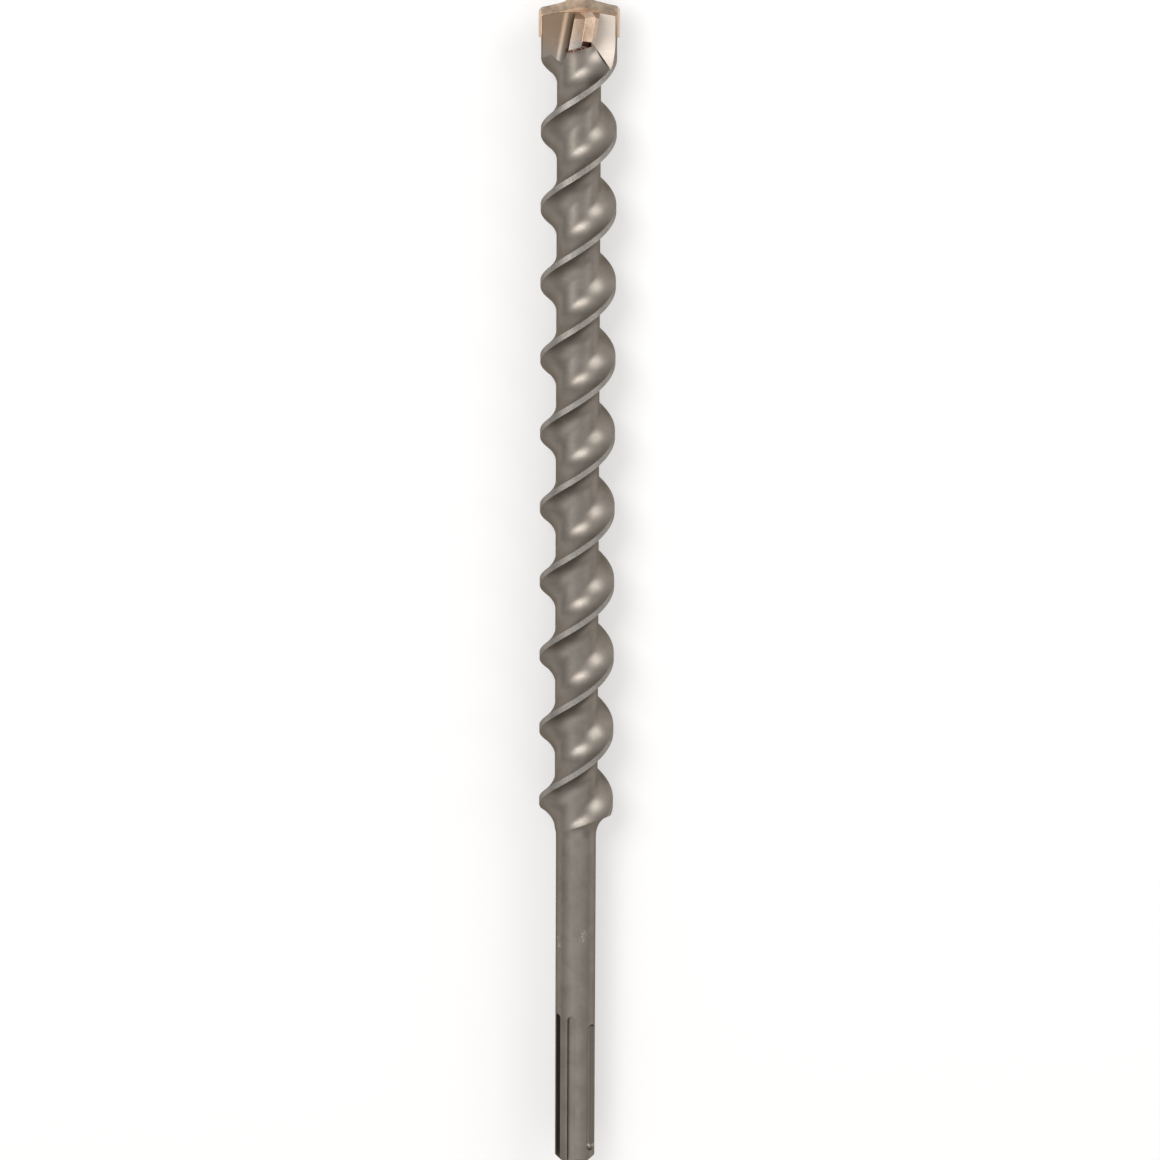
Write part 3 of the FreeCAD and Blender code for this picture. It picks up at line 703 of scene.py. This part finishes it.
def cutterSlotTool(values, name, part):
    # A leaning slot, cut inwards from outside down to its inner face
    inner, low, high = values[part]
    turn, slant = math.radians(values["angle"]), math.radians(values["slant"])
    middle = values["rise"] / math.cos(slant) / 2
    outline = []
    for across, height in ((-1, low), (1, low), (1, high), (-1, high)):
        side, level = across * values["half"], height - middle
        outline.append((
            side * math.cos(slant) + level * math.sin(slant),
            values["seat"] + middle * math.cos(slant) + level * math.cos(slant) - side * math.sin(slant)))
    outwards = Vector((math.sin(turn), 0, math.cos(turn)))
    across = (math.cos(turn), 0, -math.sin(turn))
    return addPrism(name, outline, outwards * inner, across, (0, 1, 0), (0, values["reach"]))


shankSlots = {
    "keyAngle": -35.3,  # the middle of the two slots on the visible side
    "spread": 24.3,
    "floor": 6.6,
    "width": 3.7,
    "length": 70.8,
    "reach": 9.0,  # from the floor outwards
    "overrun": 1.0,  # past the striking face
    "roundSteps": 16,
    "grooveRadius": 3.1,
    "grooveOffset": 9.5,
    "grooveStart": 6.1,
    "grooveEnd": 66.0,
    "grooveEndSteps": 10,
    "grooveSteps": 40,
}


def driveSlotTool(values, angle):
    half, low = values["width"] / 2, -values["overrun"]
    turn = math.radians(angle)
    outline = [(-half, low), (half, low)]
    outline += arcPoints((0, values["length"] - half), half, 0, 180, values["roundSteps"])
    outwards = Vector((math.sin(turn), 0, math.cos(turn)))
    across = (math.cos(turn), 0, -math.sin(turn))
    return addPrism("driveSlot", outline, outwards * values["floor"], across, (0, 1, 0), (0, values["reach"]))


def lockGrooveTool(values, angle):
    # A round groove that ends in quarter balls
    radius, steps = values["grooveRadius"], values["grooveEndSteps"]
    low, high = values["grooveStart"] + radius, values["grooveEnd"] - radius
    profile = arcPoints((0, low), radius, -90, 0, steps) + arcPoints((0, high), radius, 0, 90, steps)
    profile[0], profile[-1] = (0, low - radius), (0, high + radius)
    tool = addTurned("lockGroove", profile, values["grooveSteps"])
    tool.data.transform(Matrix.Translation(Vector(onRound(angle, values["grooveOffset"], 0)) * mm))
    return tool


def onBackFlat(values, face):
    # Whether a face of the body belongs to either back flat or to its run-out
    side = 1 if face.center.z > 0 else -1
    slant = math.radians(values["slant"])
    x, y, z = face.center / mm
    along = (side * x - values["wall"]) * math.sin(slant) + (y - values["from"]) * math.cos(slant)
    height = side * z - values["floor"]
    turn = math.asin(min(max(-along / values["runOut"], 0), 1))
    off = height - values["runOut"] * (1 - math.cos(turn))
    outwards = Vector((
        side * math.sin(slant) * math.sin(turn), math.cos(slant) * math.sin(turn), side * math.cos(turn)))
    edge = math.radians(fluteEnd["turn"])
    past = (side * x - fluteEnd["x"]) * math.sin(edge) + (y - fluteEnd["y"]) * math.cos(edge)
    near = past > values["pastEdge"] and abs(off) < values["closeness"]
    return near and face.normal.dot(outwards) > values["facing"]


shading = {"sharpFrom": 28.0, "weight": 100}


def buildDrillBody(values):
    body = buildSpiral(spiral, steel)
    print("spiral swept:", len(body.data.polygons), "faces")
    lobe = lobeBlock(head)
    ramp = combine(rampBlock(head), [fluteEndCorner(fluteEnd)], "DIFFERENCE")
    body = combine(body, [ramp, opposite(ramp), lobe, opposite(lobe)], "UNION")
    body = combine(body, [addShankCore(shankCore)], "UNION")
    body = combine(body, [turnedBlank(blank)], "INTERSECT")
    print("head and shank joined:", len(body.data.polygons), "faces")
    flat = combine(backFlatTool(backFlat), [fluteEndCorner(fluteEnd, fluteEnd["clearance"])], "DIFFERENCE")
    tools = [chipGrooveTool(chipGroove), flat]
    tools.append(cutterSlotTool(cutterSeat, "cutterSlot", "slot"))
    tools.append(cutterSlotTool(cutterSeat, "cutterRunOut", "runOut"))
    tools += [opposite(tool) for tool in tools] + [plateSlotTool(plateSlot)]
    key = shankSlots["keyAngle"]
    for angle in (key + shankSlots["spread"], key - shankSlots["spread"], key + 180):
        tools.append(driveSlotTool(shankSlots, angle))
    tools += [lockGrooveTool(shankSlots, key + 90), lockGrooveTool(shankSlots, key - 90)]
    body = combine(body, tools, "DIFFERENCE")
    body.data.materials.clear()
    for finish in (steel, ground):
        body.data.materials.append(finish)
    for face in body.data.polygons:
        face.use_smooth = True
        inHead = face.center.y > blank["headFrom"] * mm
        face.material_index = 1 if inHead and onBackFlat(backFlat, face) else 0
    body.data.set_sharp_from_angle(angle=math.radians(values["sharpFrom"]))
    modifier = body.modifiers.new("evenShading", "WEIGHTED_NORMAL")
    modifier.keep_sharp = True
    modifier.weight = values["weight"]
    return plainMesh(body, "drillBodyFinished")


body = buildDrillBody(shading)
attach(body, "root")
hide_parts("drill_body")
print("drill body finished:", len(body.data.polygons), "faces")

finishes = {
    "main_cutting_plate": plateCarbide,
    "side_cutter_front": cutterCarbide,
    "side_cutter_rear": cutterCarbide,
    "main_plate_braze": braze,
    "side_cutter_braze_front": braze,
    "side_cutter_braze_rear": braze,
}
for name, finish in finishes.items():
    nodes[name].data.materials.clear()
    nodes[name].data.materials.append(finish)
print("carbide and braze finished")

# The beads of braze stay inside the solids' box
bead = {
    "plateRun": 0.22,  # radius of a run
    "cutterRun": 0.24,
    "plateEnd": 16.2,
    "cutterRadius": 16.4,
    "steps": 40,
    "roundness": 2,
}


def crownHeight(radius):
    # Height of the head's turned top at a distance from the axis
    rim, middle = (blank["headRadius"], blank["rimHeight"]), (blank["crownRadius"], blank["crownHeight"])
    inner, outer = ((0, blank["topHeight"]), middle) if radius < middle[0] else (middle, rim)
    return inner[1] + (outer[1] - inner[1]) * (radius - inner[0]) / (outer[0] - inner[0])


def addBead(points, radius):
    # A thin run of braze along a seam
    data = bpy.data.curves.new("brazeBead", "CURVE")
    data.dimensions = "3D"
    data.bevel_depth = radius * mm
    data.bevel_resolution = bead["roundness"]
    data.use_fill_caps = True
    line = data.splines.new("POLY")
    line.points.add(len(points) - 1)
    for point, place in zip(line.points, points):
        point.co = (*(Vector(place) * mm), 1)
    piece = bpy.data.objects.new("brazeBead", data)
    scene.collection.objects.link(piece)
    return plainMesh(piece, "brazeBead")


def plateSeam(values, side):
    # Up the outside of the head, over its top and down again, beside the plate's slot
    end, across = values["plateEnd"], side * plateSlot["half"]
    seam = [(-end, plateSlot["seat"], across)]
    for step in range(values["steps"] + 1):
        x = -end + 2 * end * step / values["steps"]
        seam.append((x, crownHeight(math.hypot(x, across)), across))
    return seam + [(end, plateSlot["seat"], across)]


def cutterSeam(values, side):
    # Up the outside of the head beside the cutter's slot, then inwards over its top
    turn, slant = math.radians(cutterSeat["angle"]), math.radians(cutterSeat["slant"])
    seat, middle, inner = cutterSeat["seat"], cutterSeat["rise"] / 2, cutterSeat["slot"][0]
    seam = []
    for step in range(2 * values["steps"] + 1):
        share = step / values["steps"]
        reach = values["cutterRadius"] - (values["cutterRadius"] - inner) * max(share - 1, 0)
        level = crownHeight(reach) if share > 1 else seat + (blank["rimHeight"] - seat) * share
        along = (level - seat - middle + side * math.sin(slant)) / math.cos(slant)
        across = side * math.cos(slant) + along * math.sin(slant)
        outward = math.sqrt(reach ** 2 - across ** 2)
        seam.append((outward * math.sin(turn) + across * math.cos(turn), level,
                     outward * math.cos(turn) - across * math.sin(turn)))
    return seam


beads = [addBead(plateSeam(bead, side), bead["plateRun"]) for side in (-1, 1)]
for side in (-1, 1):
    beads.append(addBead(cutterSeam(bead, side * cutterSeat["half"]), bead["cutterRun"]))
    beads.append(opposite(beads[-1]))
for piece in beads:
    piece.data.materials.clear()
    piece.data.materials.append(braze)
    for face in piece.data.polygons:
        face.use_smooth = True
    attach(piece, "root")
print("braze beads laid:", len(beads))

# The floor and the light: large softboxes, where the photograph's reflections show them
studio = {
    "floorColour": "#B2B1B0",
    "floorLevel": -16.6,
    "floorHalf": 6000,
    "glow": 0.88,
    "airLow": 0.4,  # brightness of the air at the horizon
    "airHigh": 0.7,  # and higher up
    "airFull": 0.6,
    "aim": (0, 267, 0),  # the middle of the bit
}
lamps = {
    # turn is the angle from +Y towards +X and rise the angle above the floor, in degrees
    "leftSoftbox": {"turn": -47, "rise": 55, "distance": 2300, "size": (1650, 1050), "power": 34},
    "rightSoftbox": {"turn": 57, "rise": 32, "distance": 2300, "size": (1800, 1300), "power": 29},
    "endSoftbox": {"turn": 180, "rise": 45, "distance": 2300, "size": (2600, 1800), "power": 9},
}


def paleFloor(name, values):
    # Matt studio paper. What the camera sees of it has a glow of its own, so that it stays white and still
    # takes a shadow.
    material, tree = emptyMaterial(name)
    rays = addNode(tree, "ShaderNodeLightPath").outputs
    seen = 0.0
    for ray in ("Is Camera Ray", "Is Glossy Ray", "Is Transmission Ray"):
        seen = addNode(tree, "ShaderNodeMath", {"operation": "MAXIMUM"}, {0: seen, 1: rays[ray]}).outputs[0]
    strength = addNode(tree, "ShaderNodeMath", {"operation": "MULTIPLY"}, {0: seen, 1: values["glow"]})
    paper = addNode(tree, "ShaderNodeBsdfDiffuse", inputs={"Color": linearColour(values["floorColour"])})
    glow = addNode(tree, "ShaderNodeEmission", inputs={
        "Color": linearColour(values["floorColour"]), "Strength": strength.outputs[0]})
    both = addNode(tree, "ShaderNodeAddShader", inputs={0: paper.outputs[0], 1: glow.outputs[0]})
    addNode(tree, "ShaderNodeOutputMaterial", inputs={"Surface": both.outputs[0]})
    return material


def fillAir(values):
    # An even white room, brighter overhead than at the horizon
    world = bpy.data.worlds.new("studioAir")
    scene.world = world
    world.use_nodes = True
    tree = world.node_tree
    tree.nodes.clear()
    direction = addNode(tree, "ShaderNodeTexCoord").outputs["Generated"]
    up = addNode(tree, "ShaderNodeSeparateXYZ", inputs={0: direction}).outputs["Z"]
    level = addNode(tree, "ShaderNodeMapRange", {"interpolation_type": "SMOOTHSTEP"}, {
        "Value": up, "From Min": 0.0, "From Max": values["airFull"],
        "To Min": values["airLow"], "To Max": values["airHigh"]})
    air = addNode(tree, "ShaderNodeBackground", inputs={
        "Color": (1, 1, 1, 1), "Strength": level.outputs["Result"]})
    addNode(tree, "ShaderNodeOutputWorld", inputs={"Surface": air.outputs[0]})


def addSoftbox(name, lamp, aim):
    data = bpy.data.lights.new(name, "AREA")
    data.shape = "RECTANGLE"
    data.size, data.size_y = (side * mm for side in lamp["size"])
    data.energy = lamp["power"]
    light = bpy.data.objects.new(name, data)
    turn, rise = math.radians(lamp["turn"]), math.radians(lamp["rise"])
    outwards = Vector((math.sin(turn) * math.cos(rise), math.cos(turn) * math.cos(rise), math.sin(rise)))
    place = Vector(aim) * mm + outwards * lamp["distance"] * mm
    light.matrix_world = Matrix.Translation(place) @ (-outwards).to_track_quat("-Z", "Y").to_matrix().to_4x4()
    scene.collection.objects.link(light)


def buildStudio(values):
    half, level = values["floorHalf"], values["floorLevel"]
    corners = [(-half, -half, level), (half, -half, level), (half, half, level), (-half, half, level)]
    floor = addMesh("studioFloor", corners, [(0, 1, 2, 3)])
    floor.data.materials.append(paleFloor("studioPaper", values))
    fillAir(values)
    for name, lamp in lamps.items():
        addSoftbox(name, lamp, values["aim"])


buildStudio(studio)
scene.view_settings.view_transform = "Standard"
print("studio lit")
